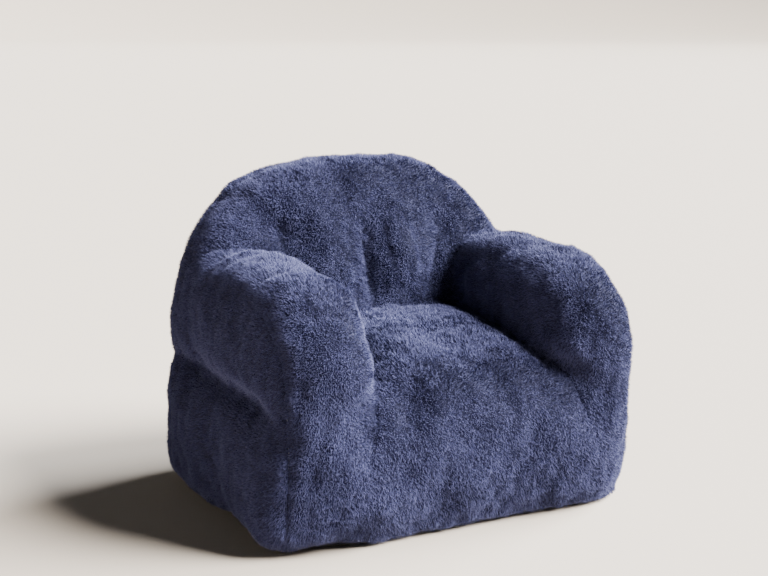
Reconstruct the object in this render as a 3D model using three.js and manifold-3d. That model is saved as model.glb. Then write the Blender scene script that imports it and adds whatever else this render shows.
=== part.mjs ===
// Plush bean bag armchair: a foam-filled back, seat and two arms in a sewn fur cover, with tufting
// ties through the back and a zip low on the rear. Millimetres, +Z up, the chair faces -Y, and the
// origin is on the floor under the middle of the chair.
import * as THREE from 'three';
import { mergeVertices } from 'three/addons/utils/BufferGeometryUtils.js';
import Module from 'manifold-3d';

const wasm = await Module();
wasm.setup();

// ---- Driving dimensions ----
const HALF_WIDTH = 480;
const FRONT = -418;
const BACK_TOP = 800;
const ARM_TOP = 606;
const SEAT_TOP = 440;

const ARM_INNER = 205; // from the middle to the arm's inner face
const CREST = 380; // height below which the arm's inner face spreads outwards
const APRON_FLARE = 0.33; // how far it spreads per unit of height
const SEAT_TUCK = 30; // how far the seat's own shape runs on into the arms
const SIDE_CREASE = 310; // height of the seam around the outer sides
const SIDE_SEAM = 446; // from the middle to the seam between an arm's wrap and its side panel

const BACK_MIDDLE = 250; // y of the back cushion's middle, at the height of the seat
const BACK_HALF = 176; // half of the back cushion's thickness there
const BACK_LEAN = 0.06; // how far the middle moves back per unit of height
const BACK_TAPER = 0.08; // how much the half thickness shrinks per unit of height

const FUR = 12; // pile and backing together
const LINER_INSET = 18;
const LINER = 2;
const FILLING_INSET = LINER_INSET + LINER + 1;
const SEAM = 0.6; // gap between neighbouring pieces
const BAFFLE = 2;
const BASE_THICKNESS = 3;
const BASE_RADIUS = 130;
const BASE_HALF_WIDTH = 402;
const BASE_FRONT = -325;
const BASE_REAR = 345;
const COVER_BOTTOM = BASE_THICKNESS + SEAM;
const FILLER_HALF = 60; // half length of a liner's filler opening
const LINER_BOTTOM = COVER_BOTTOM + 1;
const BELOW = -60; // the cushion outlines run on below the floor and are trimmed
const FAR = 1500;

// Smooth side outlines, counter-clockwise: [along, up].
const ARM_OUTLINE = [
  [-275, BELOW], [200, BELOW], [270, 110], [285, 420], [245, ARM_TOP - 35], [110, ARM_TOP - 8],
  [-90, ARM_TOP], [-255, ARM_TOP - 16], [-358, ARM_TOP - 85], [-408, 420], [FRONT + 6, 290],
  [FRONT + 20, 150], [-360, 40],
];
const SEAT_OUTLINE = [
  [-300, BELOW], [180, BELOW], [230, 150], [215, 360], [120, SEAT_TOP - 8], [0, SEAT_TOP],
  [-180, SEAT_TOP - 12], [-312, SEAT_TOP - 42], [-390, 335], [FRONT, 220], [FRONT + 6, 100], [-380, 20],
];
const BACK_OUTLINE = [
  [0, BELOW], [442, BELOW], [HALF_WIDTH - 3, 90], [HALF_WIDTH, 290], [HALF_WIDTH - 6, 440], [425, 585],
  [340, 695], [200, BACK_TOP - 22], [0, BACK_TOP], [-200, BACK_TOP - 22], [-340, 695], [-425, 585],
  [6 - HALF_WIDTH, 440], [-HALF_WIDTH, 290], [3 - HALF_WIDTH, 90], [-442, BELOW],
];
const ARM_CENTRE = [-130, 300];
const SEAT_CENTRE = [-60, 200];
const BACK_CENTRE = [0, 350];
const ARM_ROUNDNESS = 3.4; // exponents of the thickness profiles: 2 is round, more is squarer
const SEAT_ROUNDNESS = 5;
const BACK_ROUNDNESS = 3;
const OUTLINE_STEPS = 24;
const PROFILE_STEPS = 8;

// Tufts on the front of the back: [across, up].
const TUFTS = [[-217, 618], [0, 600], [217, 618]];
const TUFT_DEPTH = 52;
const TUFT_MOUTH = 62;
const TUFT_FLOOR = 17;
const BUTTON_RADIUS = 11;
const BUTTON_THICKNESS = 6;
const CORD_RADIUS = 1.5;
const CHANNEL_RADIUS = 4;
const WASHER_RADIUS = 14;
const WASHER_THICKNESS = 3;
const WASHER_FROM_REAR = 70; // from the back cushion's rear to the washers

// The zip, low on the rear.
const ZIP_HEIGHT = 180;
const COIL_HALF_LENGTH = 199;
const TAPE_HALF_LENGTH = 225;
const ZIP_SLOT = 236; // half length of the slot in the fur around the zip
const COIL_GAP = 1.8; // between the two coils, where the slider's post runs
const COIL_Y = 396.6; // the zip's middle, within the fur's thickness
const TAPE_WIDTH = 13;
const TAPE_THICKNESS = 1.2;
const COIL_WIDTH = 2.6;
const COIL_HEIGHT = 3;
const ZIP_POCKET = 17; // half height of the slot in the fur around the zip
const STOP_LENGTH = 5;
const SLIDER_LENGTH = 15;
const SLIDER_WIDTH = 12;
const SLIDER_PLATE = 1.4;
const PULL_LENGTH = 34;
const PULL_WIDTH = 9;
const PULL_THICKNESS = 1.6;

// ---- Solids ----
function signedVolume(positions, triangles) {
  let total = 0;
  for (let i = 0; i < triangles.length; i += 3) {
    const [a, b, c] = [0, 1, 2].map((k) => new THREE.Vector3().fromArray(positions, 3 * triangles[i + k]));
    total += a.dot(b.cross(c)) / 6;
  }
  return total;
}

/** A closed three.js geometry as a manifold-3d solid with its faces pointing out. */
function solid(geometry) {
  geometry.deleteAttribute('normal');
  geometry.deleteAttribute('uv');
  const merged = mergeVertices(geometry, 1e-4);
  const vertProperties = Float32Array.from(merged.attributes.position.array);
  const triVerts = Uint32Array.from(merged.index.array);
  if (signedVolume(vertProperties, triVerts) < 0) triVerts.reverse();
  return new wasm.Manifold(new wasm.Mesh({ numProp: 3, vertProperties, triVerts }));
}

function box([x0, x1], [y0, y1], [z0, z1]) {
  const geometry = new THREE.BoxGeometry(x1 - x0, y1 - y0, z1 - z0);
  geometry.translate((x0 + x1) / 2, (y0 + y1) / 2, (z0 + z1) / 2);
  return solid(geometry);
}

const above = (z) => box([-FAR, FAR], [-FAR, FAR], [z, FAR]);
const below = (z) => box([-FAR, FAR], [-FAR, FAR], [-FAR, z]);

/** A round piece about an axis along +Y through (x, z), from a closed profile of [radius, y]. */
function turnedAlongY(profile, x, z, sides) {
  const points = profile.map(([radius, y]) => new THREE.Vector2(radius, y));
  const geometry = new THREE.LatheGeometry(points, sides);
  geometry.translate(x, 0, z);
  return solid(geometry);
}

function rodAlongY(radius, x, z, y0, y1, sides = 12) {
  return turnedAlongY([[0, y0], [radius, y0], [radius, y1], [0, y1]], x, z, sides);
}

// ---- Cushion shapes ----
/** Even points on a smooth closed outline, moved inwards by inset. */
function outlinePoints(corners, inset) {
  const curve = new THREE.CatmullRomCurve3(corners.map(([a, b]) => new THREE.Vector3(a, b, 0)), true);
  return Array.from({ length: OUTLINE_STEPS }, (_, i) => {
    const point = curve.getPointAt(i / OUTLINE_STEPS);
    const along = curve.getTangentAt(i / OUTLINE_STEPS);
    return [point.x - along.y * inset, point.y + along.x * inset];
  });
}

/**
 * A cushion: rings of its outline shrink towards a centre while the thickness t goes from -1 to 1
 * as a superellipse. place(a, b, t) turns a ring's point into a point in space.
 */
function cushion(corners, [ca, cb], exponent, inset, place) {
  const outline = outlinePoints(corners, inset);
  const positions = [...place(ca, cb, -1)];
  for (let j = 1; j < PROFILE_STEPS; j += 1) {
    const angle = Math.PI * (j / PROFILE_STEPS - 0.5);
    const shrink = Math.cos(angle) ** (2 / exponent);
    const t = Math.sign(angle) * Math.abs(Math.sin(angle)) ** (2 / exponent);
    for (const [a, b] of outline) {
      positions.push(...place(ca + shrink * (a - ca), cb + shrink * (b - cb), t));
    }
  }
  positions.push(...place(ca, cb, 1));
  const triangles = [];
  const last = positions.length / 3 - 1;
  const top = last - OUTLINE_STEPS;
  for (let i = 0; i < OUTLINE_STEPS; i += 1) {
    const next = (i + 1) % OUTLINE_STEPS;
    triangles.push(0, 1 + next, 1 + i);
    triangles.push(top + i, top + next, last);
    for (let low = 1; low < top; low += OUTLINE_STEPS) {
      const high = low + OUTLINE_STEPS;
      triangles.push(low + i, low + next, high + next);
      triangles.push(low + i, high + next, high + i);
    }
  }
  const geometry = new THREE.BufferGeometry();
  geometry.setAttribute('position', new THREE.Float32BufferAttribute(positions, 3));
  geometry.setIndex(triangles);
  return solid(geometry);
}

/** The arm's inner face at height z: upright down to the crest, then spreading outwards. */
const innerFace = (z) => ARM_INNER + APRON_FLARE * Math.max(0, CREST - z);
const backMiddle = (z) => BACK_MIDDLE + BACK_LEAN * (z - SEAT_TOP);
const backHalf = (z) => BACK_HALF - BACK_TAPER * Math.max(0, z - SEAT_TOP);

function armForm(side, inset) {
  return cushion(ARM_OUTLINE, ARM_CENTRE, ARM_ROUNDNESS, inset, (y, z, t) => {
    const middle = (HALF_WIDTH + innerFace(z)) / 2;
    const half = (HALF_WIDTH - innerFace(z)) / 2;
    return [side * (middle + (half - inset) * t), y, z];
  });
}

function seatForm(inset) {
  const place = (y, z, t) => [(innerFace(z) + SEAT_TUCK - inset) * t, y, z];
  return cushion(SEAT_OUTLINE, SEAT_CENTRE, SEAT_ROUNDNESS, inset, place);
}

function backForm(inset) {
  const place = (x, z, t) => [x, backMiddle(z) + (backHalf(z) - inset) * t, z];
  return cushion(BACK_OUTLINE, BACK_CENTRE, BACK_ROUNDNESS, inset, place);
}

/** The back cushion's thickness at (x, z) as a share of its full thickness. */
function backShare(x, z) {
  const reach = Math.hypot(x / HALF_WIDTH, (z - BACK_CENTRE[1]) / (BACK_TOP - BACK_CENTRE[1]));
  return (1 - Math.min(1, reach) ** BACK_ROUNDNESS) ** (1 / BACK_ROUNDNESS);
}
const frontFace = ([x, z]) => backMiddle(z) - backShare(x, z) * backHalf(z);
const rearFace = ([x, z]) => backMiddle(z) + backShare(x, z) * backHalf(z);

/** A tuft's funnel-shaped dimple, grown by inset so that each layer of the back follows it. */
function dimple([x, z], inset) {
  const face = frontFace([x, z]);
  const profile = [
    [0, face + TUFT_DEPTH + inset],
    [TUFT_FLOOR + inset, face + TUFT_DEPTH + inset],
    [0.45 * TUFT_MOUTH + inset, face + 0.35 * TUFT_DEPTH + inset],
    [TUFT_MOUTH + inset, face - 8 + inset],
    [TUFT_MOUTH + 30 + inset, -FAR],
    [0, -FAR],
  ];
  return turnedAlongY(profile, x, z, 10);
}

function tuftedBack(inset) {
  return TUFTS.reduce((form, tuft) => form.subtract(dimple(tuft, inset)), backForm(inset));
}

// ---- The scene ----
const chair = new THREE.Group();

function colours(color, roughness, metalness = 0) {
  return new THREE.MeshStandardMaterial({ color, roughness, metalness });
}
const fur = colours('#3f4778', 0.95);
const lining = colours('#c9c6bd', 0.9);
const foam = colours('#e3d9a8', 0.95);
const baseCloth = colours('#23252c', 0.85);
const cordFibre = colours('#d8d5cc', 0.8);
const buttonCloth = colours('#343b66', 0.8);
const nylon = colours('#2a3050', 0.5);
const zinc = colours('#8d9096', 0.35, 0.9);
const labelCloth = colours('#e9e8e2', 0.8);

function add(name, form, material) {
  const mesh = form.getMesh();
  const geometry = new THREE.BufferGeometry();
  geometry.setAttribute('position', new THREE.Float32BufferAttribute(mesh.vertProperties, 3));
  geometry.setIndex(Array.from(mesh.triVerts));
  geometry.computeVertexNormals();
  const node = new THREE.Mesh(geometry, material);
  node.name = name;
  chair.add(node);
}

// ---- Neighbours ----
const SIDES = { right: -1, left: 1 }; // the sitter's right and left
const BAFFLE_SPACE = SEAM + BAFFLE + SEAM;
const backWithSeam = backForm(-SEAM);
const backWithBaffle = backForm(-BAFFLE_SPACE);
const armWithBaffle = Object.fromEntries(
  Object.entries(SIDES).map(([name, side]) => [name, armForm(side, -BAFFLE_SPACE)]),
);
const armsWithBaffle = armWithBaffle.right.add(armWithBaffle.left);
const HIDDEN_EDGE = 10; // how far a cover panel runs on into a seam

/** Inner layers of an arm and of the seat, cut back from their neighbours as deep as they are inset. */
const neighbourGap = (inset) => BAFFLE_SPACE + inset - LINER_INSET;
const armLayer = (side, inset) => armForm(side, inset).subtract(backForm(-neighbourGap(inset)));
const seatLayer = (inset) => seatForm(inset)
  .subtract(backForm(-neighbourGap(inset)))
  .subtract(armForm(-1, -neighbourGap(inset)))
  .subtract(armForm(1, -neighbourGap(inset)));

// ---- Fur cover ----
function seatPanel() {
  const skin = seatForm(0).subtract(seatForm(FUR)).subtract(backWithBaffle).subtract(armsWithBaffle);
  return skin.intersect(above(COVER_BOTTOM));
}

/** Everything in front of the seam around the back's rim, or behind it. */
function rimSide(sign) {
  const geometry = new THREE.BoxGeometry(2 * FAR, FAR, 2 * FAR);
  geometry.translate(0, sign * (FAR / 2 + SEAM / 2), 0);
  geometry.rotateX(-Math.atan(BACK_LEAN));
  geometry.translate(0, backMiddle(SEAT_TOP), SEAT_TOP);
  return solid(geometry);
}

function backPanel(sign) {
  const skin = tuftedBack(0).subtract(tuftedBack(FUR)).intersect(above(COVER_BOTTOM));
  const neighbours = seatForm(HIDDEN_EDGE).add(armForm(-1, HIDDEN_EDGE)).add(armForm(1, HIDDEN_EDGE));
  return skin.intersect(rimSide(sign)).subtract(neighbours);
}

function backInnerPanel() {
  return TUFTS.reduce((panel, tuft) => panel.subtract(channel(tuft)), backPanel(-1));
}

function backOuterPanel() {
  const slot = box([-ZIP_SLOT, ZIP_SLOT], [0, FAR], [ZIP_HEIGHT - ZIP_POCKET, ZIP_HEIGHT + ZIP_POCKET]);
  return backPanel(1).subtract(slot);
}

/** Everything outside the seam between an arm's wrap and its side panel. */
function outsideSideSeam(side, x) {
  return side > 0 ? box([x, FAR], [-FAR, FAR], [-FAR, FAR]) : box([-FAR, -x], [-FAR, FAR], [-FAR, FAR]);
}

function armSkin(side) {
  const skin = armForm(side, 0).subtract(armForm(side, FUR)).subtract(backWithBaffle);
  return skin.intersect(above(COVER_BOTTOM));
}

function armWrapPanel(side) {
  return armSkin(side).subtract(outsideSideSeam(side, SIDE_SEAM - SEAM)).subtract(seatForm(HIDDEN_EDGE));
}

function sidePanel(side, height) {
  return armSkin(side).intersect(outsideSideSeam(side, SIDE_SEAM)).intersect(height);
}

function basePanel() {
  const x = BASE_HALF_WIDTH - BASE_RADIUS;
  const front = BASE_FRONT + BASE_RADIUS;
  const rear = BASE_REAR - BASE_RADIUS;
  const shape = new THREE.Shape();
  shape.absarc(x, front, BASE_RADIUS, -Math.PI / 2, 0);
  shape.absarc(x, rear, BASE_RADIUS, 0, Math.PI / 2);
  shape.absarc(-x, rear, BASE_RADIUS, Math.PI / 2, Math.PI);
  shape.absarc(-x, front, BASE_RADIUS, Math.PI, 1.5 * Math.PI);
  const depth = BASE_THICKNESS;
  return solid(new THREE.ExtrudeGeometry(shape, { depth, bevelEnabled: false, curveSegments: 8 }));
}

// ---- Baffles between the cushions ----
function seatBackBaffle() {
  const sheet = seatForm(HIDDEN_EDGE).intersect(backForm(-SEAM - BAFFLE)).subtract(backWithSeam);
  return sheet.subtract(armsWithBaffle).intersect(above(LINER_BOTTOM));
}

function armSeatBaffle(side) {
  const sheet = seatForm(HIDDEN_EDGE).intersect(armForm(side, -SEAM - BAFFLE)).subtract(armForm(side, -SEAM));
  return sheet.subtract(backWithBaffle).intersect(above(LINER_BOTTOM));
}

function armBackBaffle(side) {
  const sheet = armForm(side, HIDDEN_EDGE).intersect(backForm(-SEAM - BAFFLE)).subtract(backWithSeam);
  return sheet.intersect(above(LINER_BOTTOM));
}

// ---- Liners and fillings ----
/** A bag around a filling: a 2 mm shell with a filler opening cut by slot. */
function liner(layer, slot) {
  const outside = layer(LINER_INSET).intersect(above(LINER_BOTTOM));
  const inside = layer(LINER_INSET + LINER).intersect(above(LINER_BOTTOM + LINER));
  return outside.subtract(inside).subtract(slot);
}

function filling(layer) {
  return layer(FILLING_INSET).intersect(above(LINER_BOTTOM + LINER + 1));
}

/** A filler opening in the underside, around x and y. */
function underSlot(x, y) {
  return box([x - 6, x + 6], [y - FILLER_HALF, y + FILLER_HALF], [0, 2 * LINER_BOTTOM]);
}

// ---- Tufting ----
const washerFront = (tuft) => rearFace(tuft) - WASHER_FROM_REAR;
const tuftFloor = (tuft) => frontFace(tuft) + TUFT_DEPTH;

function channel([x, z]) {
  return rodAlongY(CHANNEL_RADIUS, x, z, 0, washerFront([x, z]) + 1);
}

function washerPocket([x, z]) {
  return rodAlongY(WASHER_RADIUS + 1, x, z, washerFront([x, z]) - SEAM, FAR);
}

function tuftButton([x, z]) {
  const rear = tuftFloor([x, z]) - SEAM;
  const front = rear - BUTTON_THICKNESS;
  const profile = [
    [0, front], [0.6 * BUTTON_RADIUS, front + 0.8], [BUTTON_RADIUS, front + 3], [BUTTON_RADIUS, rear - 1],
    [BUTTON_RADIUS - 1, rear], [0, rear],
  ];
  return turnedAlongY(profile, x, z, 16);
}

function tuftCord([x, z]) {
  return rodAlongY(CORD_RADIUS, x, z, tuftFloor([x, z]) - SEAM / 2, washerFront([x, z]) - SEAM / 2, 8);
}

function tuftWasher([x, z]) {
  return rodAlongY(WASHER_RADIUS, x, z, washerFront([x, z]), washerFront([x, z]) + WASHER_THICKNESS, 16);
}

function backFilling() {
  return TUFTS.reduce(
    (form, tuft) => form.subtract(channel(tuft)).subtract(washerPocket(tuft)),
    filling(tuftedBack),
  );
}

function backLiner() {
  const slot = box([-FILLER_HALF, FILLER_HALF], [BACK_MIDDLE, FAR], [ZIP_HEIGHT - 6, ZIP_HEIGHT + 6]);
  return TUFTS.reduce((form, tuft) => form.subtract(channel(tuft)), liner(tuftedBack, slot));
}

// ---- Zip ----
const coilInner = COIL_GAP / 2;
const tapeInner = coilInner + COIL_WIDTH + 0.4;

function zipTape(side) {
  const heights = [ZIP_HEIGHT + side * tapeInner, ZIP_HEIGHT + side * (tapeInner + TAPE_WIDTH)];
  const depths = [COIL_Y - TAPE_THICKNESS / 2, COIL_Y + TAPE_THICKNESS / 2];
  return box([-TAPE_HALF_LENGTH, TAPE_HALF_LENGTH], depths, heights.sort((a, b) => a - b));
}

function coilBar(side, x0, x1) {
  const heights = [ZIP_HEIGHT + side * coilInner, ZIP_HEIGHT + side * (coilInner + COIL_WIDTH)];
  return box([x0, x1], [COIL_Y - COIL_HEIGHT / 2, COIL_Y + COIL_HEIGHT / 2], heights.sort((a, b) => a - b));
}

const zipCoil = (side) => coilBar(side, -COIL_HALF_LENGTH, COIL_HALF_LENGTH);
const topStop = (side) => coilBar(side, -COIL_HALF_LENGTH - SEAM - STOP_LENGTH, -COIL_HALF_LENGTH - SEAM);

function bottomStop() {
  const start = COIL_HALF_LENGTH + SEAM;
  const half = coilInner + COIL_WIDTH;
  const depths = [COIL_Y - COIL_HEIGHT / 2, COIL_Y + COIL_HEIGHT / 2];
  return box([start, start + STOP_LENGTH], depths, [ZIP_HEIGHT - half, ZIP_HEIGHT + half]);
}

const SLIDER_X = -COIL_HALF_LENGTH + 9;
const plateInner = COIL_HEIGHT / 2 + 0.5; // from the coils' middle to the slider's plates
const pullAxisY = COIL_Y + plateInner + SLIDER_PLATE + 1.5;

function slider() {
  const lengths = [SLIDER_X - SLIDER_LENGTH / 2, SLIDER_X + SLIDER_LENGTH / 2];
  const heights = [ZIP_HEIGHT - SLIDER_WIDTH / 2, ZIP_HEIGHT + SLIDER_WIDTH / 2];
  const plateOuter = plateInner + SLIDER_PLATE;
  const inner = box(lengths, [COIL_Y - plateOuter, COIL_Y - plateInner], heights);
  const outer = box(lengths, [COIL_Y + plateInner, COIL_Y + plateOuter], heights);
  const middle = [SLIDER_X - 4, SLIDER_X + 4];
  const post = box(middle, [COIL_Y - plateOuter, COIL_Y + plateOuter], [ZIP_HEIGHT - 0.5, ZIP_HEIGHT + 0.5]);
  const bail = box(middle, [COIL_Y + plateInner, pullAxisY + 2.7], [ZIP_HEIGHT - 1, ZIP_HEIGHT + 1]);
  const eyeDepths = [pullAxisY - 1.5, pullAxisY + 1.5];
  const eye = box([SLIDER_X - 2, SLIDER_X + 2], eyeDepths, [ZIP_HEIGHT - 2, ZIP_HEIGHT + 2]);
  return inner.add(outer).add(post).add(bail.subtract(eye));
}

function pullTab() {
  const depths = [pullAxisY - PULL_THICKNESS / 2, pullAxisY + PULL_THICKNESS / 2];
  const half = PULL_WIDTH / 2;
  const plate = box([SLIDER_X - 1, SLIDER_X + PULL_LENGTH], depths, [ZIP_HEIGHT - half, ZIP_HEIGHT + half]);
  const hole = box([SLIDER_X + 1, SLIDER_X + 6.5], [0, FAR], [ZIP_HEIGHT - 2, ZIP_HEIGHT + 2]);
  return plate.subtract(hole);
}

function careLabel() {
  const layer = backForm(14).subtract(backForm(15));
  return layer.intersect(box([270, 320], [BACK_MIDDLE, FAR], [150, 200]));
}

// ---- Assembly ----
add('seat_fur_panel', seatPanel(), fur);
add('back_inner_fur_panel', backInnerPanel(), fur);
add('back_outer_fur_panel', backOuterPanel(), fur);
add('base_panel', basePanel(), baseCloth);
add('seat_back_baffle', seatBackBaffle(), lining);
add('seat_liner', liner(seatLayer, underSlot(0, SEAT_CENTRE[0])), lining);
add('seat_filling', filling(seatLayer), foam);
add('back_liner', backLiner(), lining);
add('back_filling', backFilling(), foam);
for (const [name, side] of Object.entries(SIDES)) {
  const layer = (inset) => armLayer(side, inset);
  const middle = side * (HALF_WIDTH + innerFace(0)) / 2;
  add(`${name}_arm_wrap_fur_panel`, armWrapPanel(side), fur);
  add(`${name}_upper_side_fur_panel`, sidePanel(side, above(SIDE_CREASE + SEAM / 2)), fur);
  add(`${name}_lower_side_fur_panel`, sidePanel(side, below(SIDE_CREASE - SEAM / 2)), fur);
  add(`${name}_arm_seat_baffle`, armSeatBaffle(side), lining);
  add(`${name}_arm_back_baffle`, armBackBaffle(side), lining);
  add(`${name}_arm_liner`, liner(layer, underSlot(middle, ARM_CENTRE[0])), lining);
  add(`${name}_arm_filling`, filling(layer), foam);
}
TUFTS.forEach((tuft, index) => {
  add(`tuft_button_${index + 1}`, tuftButton(tuft), buttonCloth);
  add(`tuft_cord_${index + 1}`, tuftCord(tuft), cordFibre);
  add(`tuft_washer_${index + 1}`, tuftWasher(tuft), nylon);
});
for (const [name, side] of Object.entries({ upper: 1, lower: -1 })) {
  add(`zip_tape_${name}`, zipTape(side), nylon);
  add(`zip_coil_${name}`, zipCoil(side), nylon);
  add(`zip_top_stop_${name}`, topStop(side), zinc);
}
add('zip_bottom_stop', bottomStop(), zinc);
add('zip_slider', slider(), zinc);
add('zip_pull_tab', pullTab(), zinc);
add('care_label', careLabel(), labelCloth);

export default chair;
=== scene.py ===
import math

import bpy
import numpy as np
import openvdb
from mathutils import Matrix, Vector


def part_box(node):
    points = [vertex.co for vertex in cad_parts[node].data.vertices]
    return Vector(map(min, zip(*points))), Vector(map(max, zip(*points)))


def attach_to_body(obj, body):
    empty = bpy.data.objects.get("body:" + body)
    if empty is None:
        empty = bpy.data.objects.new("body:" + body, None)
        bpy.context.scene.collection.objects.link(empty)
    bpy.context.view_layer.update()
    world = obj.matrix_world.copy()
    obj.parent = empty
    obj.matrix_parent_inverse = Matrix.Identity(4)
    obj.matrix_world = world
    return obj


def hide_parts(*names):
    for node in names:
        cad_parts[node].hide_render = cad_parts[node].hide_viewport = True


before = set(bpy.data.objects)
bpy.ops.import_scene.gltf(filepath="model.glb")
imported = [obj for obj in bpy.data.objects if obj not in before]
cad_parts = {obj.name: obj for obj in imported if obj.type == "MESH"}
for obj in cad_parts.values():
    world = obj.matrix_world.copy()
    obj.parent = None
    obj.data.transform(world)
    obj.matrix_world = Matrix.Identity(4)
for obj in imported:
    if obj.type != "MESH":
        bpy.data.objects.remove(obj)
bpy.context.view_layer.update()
scene = bpy.context.scene
rng = np.random.default_rng(7)

# ---- Driving dimensions, metres ----
HALF_WIDTH = 0.48
FRONT = -0.418
BACK_TOP = 0.8
ARM_TOP = 0.606
SEAT_TOP = 0.44
ARM_INNER = 0.205  # from the middle to the arm's inner face
CREST = 0.38  # below this height the arm's inner face spreads outwards
APRON_FLARE = 0.33
LEFT_SPREAD = 0.042
RIGHT_SPREAD = 0.05  # only near the floor
SIDE_LEAN = 0.018
SEAT_TUCK = 0.03  # how far the seat runs on into the arms
SIDE_SEAM = 0.446  # from the middle to the seam between an arm's wrap and its side panel
SIDE_CREASE = 0.31
BACK_MIDDLE = 0.25
BACK_HALF = 0.176
BACK_LEAN = 0.06
BACK_TAPER = 0.08
BELOW = -0.06  # the cushion outlines run on below the floor and are trimmed
COVER_BOTTOM = 0.004

ZIP_HEIGHT = 0.18
ZIP_SLOT = 0.218  # half the length of the opening in the fur
ZIP_SLOT_HALF = 0.010
COIL_Y = 0.3966
SLIDER_X = -0.19
PULL_Y = 0.4015  # the pull tab's hinge

TUFTS = [(-0.217, 0.618), (0.0, 0.6), (0.217, 0.618)]  # (x, z) on the back's front
TUFT_DEPTHS = [0.038, 0.030, 0.042]

BACKING_INSET = 0.008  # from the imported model's outside to the fur's backing, before it is puffed
BACKING = 0.011  # the backing's thickness
LINER_INSET = 0.017  # from the backing's outside to the liners'
LINER = 0.002
SEAM = -0.0008  # the panels' edges are pressed into each other where they are sewn
PILE_LENGTH = 0.0080
BLADES_PER_SQUARE_METRE = 240000
FAR = 9  # longer than anything here

# ---- Grid ----
PITCH = 0.006
LOW = np.array([-0.504, -0.444, -0.024])
HIGH = np.array([0.505, 0.445, 0.84])
GRID = tuple(slice(a, b, PITCH) for a, b in zip(LOW, HIGH))
X, Y, Z = (axis.astype(np.float32) for axis in np.ogrid[GRID])


def sample(field, points, pitch=PITCH):
    """A field's value at points between the grid's own, by trilinear interpolation."""
    place = (points - LOW) / pitch
    cell = np.clip(place.astype(int), 0, np.array(field.shape[:3]) - 2)
    share = np.clip(place - cell, 0, 1)
    total = 0
    for corner in np.ndindex(2, 2, 2):
        weight = np.prod(np.where(corner, share, 1 - share), axis=1)
        values = field[tuple((cell + corner).T)]
        total = total + (weight * values if values.ndim == 1 else weight[:, None] * values)
    return total


def slope(field, points):
    """Unit vectors along which a field grows."""
    step = PITCH * np.eye(3)
    growth = np.stack([sample(field, points + s) - sample(field, points - s) for s in step], axis=1)
    return growth / np.maximum(np.linalg.norm(growth, axis=1, keepdims=True), 1e-9)


# ---- Distances: negative inside ----
def smooth_loop(corners, steps=10):
    """A closed Catmull-Rom curve through the corners."""
    p = np.array(corners, float)
    t = np.linspace(0, 1, steps, endpoint=False)[None, :, None]
    p0, p1, p2, p3 = (np.roll(p, shift, axis=0)[:, None, :] for shift in (1, 0, -1, -2))
    curve = 2 * p1 + (p2 - p0) * t + (2 * p0 - 5 * p1 + 4 * p2 - p3) * t**2
    curve = (curve + (3 * p1 - p0 - 3 * p2 + p3) * t**3) / 2
    return curve.reshape(-1, 2)


def cushion(corners, centre, exponent, a, b, t):
    """Distance to a cushion whose outline in (a, b) shrinks to its centre as |t| goes to 1."""
    spokes = smooth_loop(corners) - centre
    turn = np.arctan2(spokes[:, 1], spokes[:, 0])
    order = np.argsort(turn)
    a, b = a - centre[0], b - centre[1]
    reach = np.interp(np.arctan2(b, a), turn[order], np.hypot(*spokes[order].T), period=2 * math.pi)
    share = (np.hypot(a, b) / reach).astype(np.float32)
    value = (share**exponent + np.abs(t) ** exponent) ** (1 / exponent)
    growth = np.sqrt(sum(g * g for g in np.gradient(value, PITCH)))
    return (value - 1) / np.maximum(growth, 1.5)


def rounded_max(a, b, radius):
    """Where a and b are both inside, with the edge between them rounded."""
    outside = np.hypot(np.maximum(a + radius, 0), np.maximum(b + radius, 0))
    return outside + np.minimum(np.maximum(a, b) + radius, 0) - radius


def smooth_min(a, b, blend):
    """a and b joined, with the crease between them filled over blend."""
    h = np.clip(0.5 + 0.5 * (b - a) / blend, 0, 1)
    return b + (a - b) * h - blend * h * (1 - h)


def all_of(*fields):
    total = fields[0]
    for field in fields[1:]:
        total = np.maximum(total, field)
    return total


def hill(distance, width):
    return np.exp(-((distance / width) ** 2))


def ramp(value, start, end):
    t = np.clip((value - start) / (end - start), 0, 1)
    return t * t * (3 - 2 * t)


# ---- Cushions ----
def inner_face(z):
    """The arms' inner faces. The seat's filling has pushed both further out at the front."""
    left = LEFT_SPREAD * ramp(X, -0.1, 0.2) * ramp(-Z, -0.42, -0.3)
    right = RIGHT_SPREAD * ramp(-X, -0.1, 0.2) * ramp(-Z, -0.3, -0.04)
    return ARM_INNER + APRON_FLARE * np.maximum(0, CREST - z) + (left + right) * ramp(-Y, 0.05, 0.35)


def back_middle(z):
    return BACK_MIDDLE + BACK_LEAN * (z - SEAT_TOP)


def leaned(x):
    """The outer sides lean towards the right near the floor, where the filling has slumped that way."""
    return x + SIDE_LEAN * ramp(np.abs(X), 0.26, 0.42) * ramp(-Z, -0.4, -0.03)


def arm_field():
    outline = [
        (-0.275, BELOW), (0.2, BELOW), (0.27, 0.11), (0.285, 0.42), (0.245, ARM_TOP - 0.035),
        (0.11, ARM_TOP - 0.008), (-0.09, ARM_TOP), (-0.255, ARM_TOP - 0.016), (-0.358, ARM_TOP - 0.085),
        (-0.408, 0.42), (FRONT + 0.006, 0.29), (FRONT + 0.02, 0.15), (-0.36, 0.04),
    ]
    middle = (HALF_WIDTH + inner_face(Z)) / 2
    half = (HALF_WIDTH - inner_face(Z)) / 2
    return cushion(outline, (-0.13, 0.3), 3.4, Y, Z, (np.abs(leaned(X)) - middle) / half)


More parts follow.
